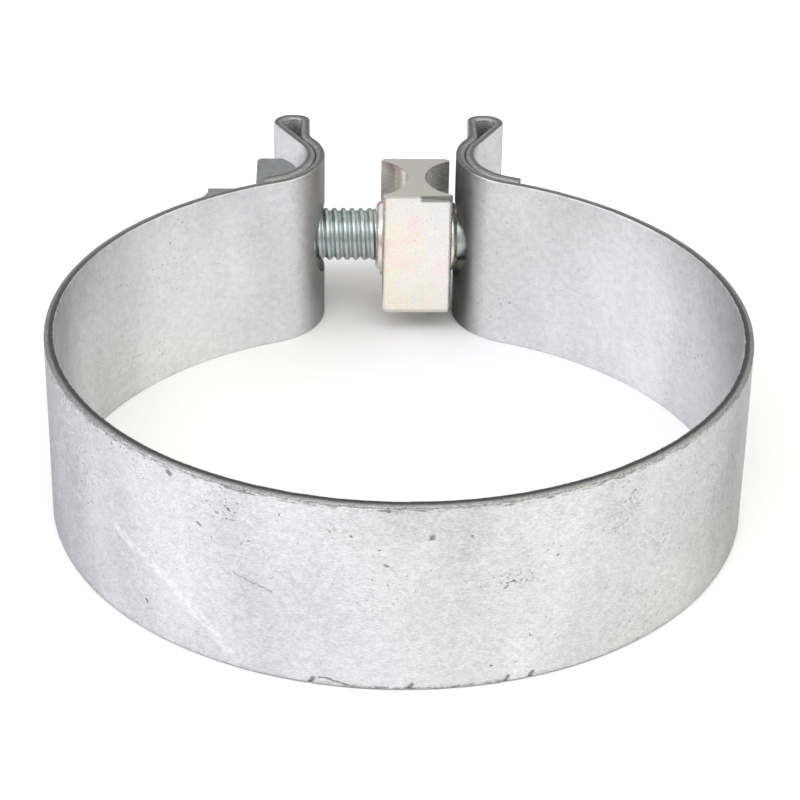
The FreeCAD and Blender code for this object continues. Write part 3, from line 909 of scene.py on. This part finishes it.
def band_material():
    """Aluminised sheet: a dull mottled skin with fine grain, specks, pits and handling marks, and
    bare steel where it was sheared. Painted light lifts the inner face and the ears' cut edges,
    and painted shade darkens the ears' mouths and the rolled rims."""
    material, g = metal("aluminised_steel")
    at = StripPlace(g)
    scuff = scuff_mask(g, at)
    dark = g.times(g.brightest([dirt_mask(g, at), grime_mask(g, at), mark_mask(g, at)]), DARK_SHARE)
    cut, cut_colour = sheared_edge(g, at)

    # painted shade in the ears' mouths
    colour = g.mix(painted_mouth_shade_mask(g, at), skin_colour(g, at), MOUTH_SHADE_COLOUR)
    colour = g.mix(scuff, colour, SCUFF_COLOUR)
    colour = g.mix(dark, colour, GRIME_COLOUR)
    colour = g.mix(cut, colour, cut_colour)

    roughness = g.maths("ADD", g.spread(at.mottle, 0.30, 0.42), g.times(dark, 0.2))
    roughness = g.maths("SUBTRACT", roughness, g.times(scuff, 0.12))
    relief = g.maths("ADD", g.times(at.mottle, 0.8), g.times(at.grain, 0.45))
    relief = g.maths("SUBTRACT", relief, g.times(dark, 0.8))
    normal = g.bump(relief, FINE_RELIEF, g.bump(at.cloud, BROAD_RELIEF))
    surface(g, colour, g.ramp(cut, 0.0, 1.0, 0.85, 0.65), roughness, normal, BAND_EDGE_TINT)
    return material


# ---------------------------------------------------------------- the other materials

CREAM_WARM = (0.90, 0.86, 0.72)
CREAM_COOL = (0.88, 0.86, 0.80)
PINK = (0.92, 0.72, 0.74)
BLUE = (0.76, 0.80, 0.90)
BLOCK_SPECK = (0.35, 0.30, 0.24)
BLOCK_END = (0.62, 0.62, 0.56)
# colour and strength of the painted shade on the torn front edge
TORN_SHADE_COLOUR = (0.20, 0.21, 0.20)
TORN_SHADE_SHARE = 0.85
BLOCK_RELIEF = 0.003 * MM
ZINC_SPECK = (0.12, 0.12, 0.12)
ZINC_RELIEF = 0.02 * MM
FLOOR_COLOUR = (0.93, 0.93, 0.93)

# colour, roughness, and the stretch of the tooling lines along X, Y and Z
BAR_FINISH = ("dull_zinc", (0.32, 0.33, 0.33), 0.42, (3.0, 3.0, 0.15))
BOLT_FINISH = ("bolt_zinc", (0.48, 0.54, 0.53), 0.27, (0.6, 2.0, 2.0))
NUT_FINISH = ("nut_zinc", (0.36, 0.38, 0.38), 0.30, (0.4, 2.0, 2.0))


def passivation(g, place, across, z):
    """Cream that shifts to pink on the upper left and to blue on the right."""
    veins = g.noise(g.vector("ADD", place, (31, 7, 3)), 0.22, 3.0)
    cream = g.mix(g.ramp(g.noise(place, 0.16, 2.0), 0.42, 0.60), CREAM_WARM, CREAM_COOL)
    to_left = g.times(g.ramp(across, 2.0, -5.0), g.ramp(z, -4.0, 9.0))
    pink_share = g.times(g.ramp(veins, 0.42, 0.62), g.maths("ADD", to_left, 0.35, clamp=True))
    blue_share = g.times(g.ramp(veins, 0.47, 0.34), g.ramp(across, -4.0, 4.0, 0.1, 0.5))
    return g.mix(blue_share, g.mix(pink_share, cream, PINK), BLUE)


def torn_edge_shade_mask(g, across, y, z):
    """Painted shade on the torn facet along the front of the top edge."""
    torn_from = (BLOCK_HIGH.z - TEAR_HEIGHT) / MM
    torn_back = (BLOCK_LOW.y + 2 * TEAR_DEPTH) / MM
    start = TEAR_START / MM
    return g.times(g.ramp(z, torn_from - 0.15, torn_from + 0.15),
                   g.ramp(y, torn_back, torn_back - 0.5),
                   g.ramp(across, start - 0.3, start + 0.3))


def block_material():
    """Zinc plate under a thin passivation that shifts between cream, pink and blue, with duller
    ends and painted shade along the torn front edge."""
    material, g = metal("passivated_zinc")
    place = object_place(g)
    x, y, z = g.split(place)
    across = g.maths("SUBTRACT", x, (BLOCK_LOW.x + BLOCK_HIGH.x) / 2 / MM)
    fine = g.noise(place, 1.7, 4.0, 0.6)
    colour = g.scale_colour(passivation(g, place, across, z), g.spread(fine, 0.95, 1.0))
    specks = g.ramp(g.noise(place, 2.6, 3.0, 0.6), 0.73, 0.79, 0.0, 0.35)
    colour = g.mix(specks, colour, BLOCK_SPECK)
    top = BLOCK_HIGH.z / MM
    colour = g.mix(g.ramp(g.maths("ABSOLUTE", z), top - 0.3, top - 0.05), colour, BLOCK_END)
    # painted shade on the torn front edge
    colour = g.mix(g.times(torn_edge_shade_mask(g, across, y, z), TORN_SHADE_SHARE), colour, TORN_SHADE_COLOUR)

    draw_lines = g.noise(g.stretch(place, (3.0, 3.0, 0.12)), 1.2, 3.0, 0.6)
    normal = g.bump(g.maths("ADD", draw_lines, g.times(fine, 0.6)), BLOCK_RELIEF)
    surface(g, colour, 0.88, g.spread(fine, 0.23, 0.28), normal)
    return material


def zinc_material(name, colour, roughness, streak):
    """Clear zinc plate with a faint mottling and tooling lines."""
    material, g = metal(name)
    place = object_place(g)
    mottle = g.noise(place, 0.7, 5.0, 0.6)
    lines = g.noise(g.stretch(place, streak), 1.0, 3.0, 0.6)
    tone = g.maths("ADD", g.spread(mottle, 0.88, 1.08), g.spread(lines, -0.05, 0.05))
    specks = g.ramp(g.noise(place, 2.3, 3.0, 0.6), 0.69, 0.75, 0.0, 0.6)
    tinted = g.mix(specks, g.scale_colour(colour, tone), ZINC_SPECK)
    normal = g.bump(g.maths("ADD", lines, g.times(mottle, 0.7)), ZINC_RELIEF)
    surface(g, tinted, 0.9, g.spread(mottle, roughness, roughness + 0.12), normal)
    return material


def floor_material():
    material, g = metal("pale_floor")
    fine = g.spread(g.noise(object_place(g), 0.02, 2.0), 0.985, 1.0)
    surface(g, g.scale_colour(FLOOR_COLOUR, fine), 0.0, 0.9, g.bump(fine, 0.01 * MM))
    return material


# ---------------------------------------------------------------- stage, lights and camera

# the photograph's viewpoint, with its angles in degrees
CAMERA_AZIMUTH = -1.95
CAMERA_ELEVATION = 29.87
CAMERA_DISTANCE = 426.44 * MM
CAMERA_AIM = Vector((0.34, 0.45, 0.81)) * MM
CAMERA_ROLL = 1.064
CAMERA_LENS = 118.5
CAMERA_CLIP = 0.01
FLOOR_REACH = 4.0

# name, azimuth, elevation, distance, size, power in watts, colour
LIGHTS = (("key", 0, 58, 1.3, (1.5, 0.9), 7.0, (1.0, 1.0, 1.0)),
          ("left_fill", -78, 25, 1.1, (0.7, 0.7), 6.0, (0.90, 0.88, 1.0)),
          ("right_fill", 78, 25, 1.1, (0.7, 0.7), 3.2, (1.0, 0.99, 0.91)))
ROOM_LEFT = (0.96, 0.94, 1.0)
ROOM_RIGHT = (1.0, 1.0, 0.94)
ROOM_DIM, ROOM_BRIGHT = 0.10, 0.90


def direction(azimuth, elevation):
    """Unit vector from the object. Azimuth 0 is the front, and 90 the right-hand side."""
    a, e = math.radians(azimuth), math.radians(elevation)
    return Vector((math.sin(a) * math.cos(e), -math.cos(a) * math.cos(e), math.sin(e)))


def add_camera():
    camera = bpy.data.objects.new("camera", bpy.data.cameras.new("camera"))
    bpy.context.scene.collection.objects.link(camera)
    camera.data.lens = CAMERA_LENS
    camera.data.clip_start = CAMERA_CLIP
    eye = direction(CAMERA_AZIMUTH, CAMERA_ELEVATION) * CAMERA_DISTANCE
    forward = (CAMERA_AIM - eye).normalized()
    level = forward.cross(Vector((0, 0, 1))).normalized()
    upright = level.cross(forward)
    roll = math.radians(CAMERA_ROLL)
    right = level * math.cos(roll) + upright * math.sin(roll)
    up = upright * math.cos(roll) - level * math.sin(roll)
    camera.matrix_world = Matrix.Translation(eye) @ Matrix((right, up, -forward)).transposed().to_4x4()
    bpy.context.scene.camera = camera


def add_softbox(name, azimuth, elevation, distance, size, power, colour):
    light = bpy.data.lights.new(name, "AREA")
    light.shape = "RECTANGLE"
    light.size, light.size_y = size
    light.energy = power
    light.color = colour
    lamp = bpy.data.objects.new(name, light)
    bpy.context.scene.collection.objects.link(lamp)
    away = direction(azimuth, elevation)
    lamp.location = away * distance
    lamp.rotation_mode = "QUATERNION"
    lamp.rotation_quaternion = away.to_track_quat("Z", "Y")


def add_world():
    """A pale room: bright in front and overhead, and dimmer at the sides and behind."""
    world = bpy.data.worlds.new("room")
    world.use_nodes = True
    bpy.context.scene.world = world
    g = Graph(world.node_tree)
    x, y, z = g.split(g.add("TexCoord").outputs["Generated"])
    front = g.ramp(y, 0.25, -0.8)
    overhead = g.ramp(z, 0.10, 0.60)
    tint = g.mix(g.ramp(x, -0.6, 0.6), ROOM_LEFT, ROOM_RIGHT)
    light = g.ramp(g.maths("MAXIMUM", front, overhead), 0.0, 1.0, ROOM_DIM, ROOM_BRIGHT)
    seen = g.add("LightPath").outputs["Is Camera Ray"]
    strength = g.maths("MAXIMUM", light, seen)
    background = g.add("Background", None, {"Color": tint, "Strength": strength})
    g.add("OutputWorld", None, {"Surface": background.outputs[0]})


def add_floor():
    corners = [(x * FLOOR_REACH, y * FLOOR_REACH, FRONT_LOW.z)
               for x, y in ((-1, -1), (1, -1), (1, 1), (-1, 1))]
    floor = mesh_object("floor", corners, [range(4)])
    floor.data.materials.append(floor_material())


def set_stage():
    add_floor()
    add_world()
    for light in LIGHTS:
        add_softbox(*light)
    add_camera()
    bpy.context.scene.view_settings.view_transform = "Standard"


# ---------------------------------------------------------------- assembly


def dress(piece, material, nodes):
    piece.data.materials.clear()
    piece.data.materials.append(material)
    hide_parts(*nodes)


def build_band():
    finish = band_material()
    for name, side, body, nodes in (("band_right", 1, "right_arm", ("band_right_arm", "band_front")),
                                    ("band_left", -1, "left_arm", ("band_left_arm",))):
        strip = make_strip(name, side)
        dress(strip, finish, nodes)
        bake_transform(strip)


def build_hardware():
    block = make_block()
    dress(block, block_material(), ("reaction_block",))
    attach(block, "block")

    finish = zinc_material(*BAR_FINISH)
    for node, name, side, body in (("nut_side_bar", "nut_bar_body", -1, "nut_bar"),
                                   ("head_side_bar", "head_bar_body", 1, "head_bar")):
        bar = make_bar(node, name, side)
        dress(bar, finish, (node,))
        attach(bar, body)

    bolt = make_bolt()
    dress(bolt, zinc_material(*BOLT_FINISH), ("bolt",))
    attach(bolt, "bolt")

    nut = make_nut()
    dress(nut, zinc_material(*NUT_FINISH), ("lock_nut",))
    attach(nut, "nut")


build_band()
build_hardware()
set_stage()
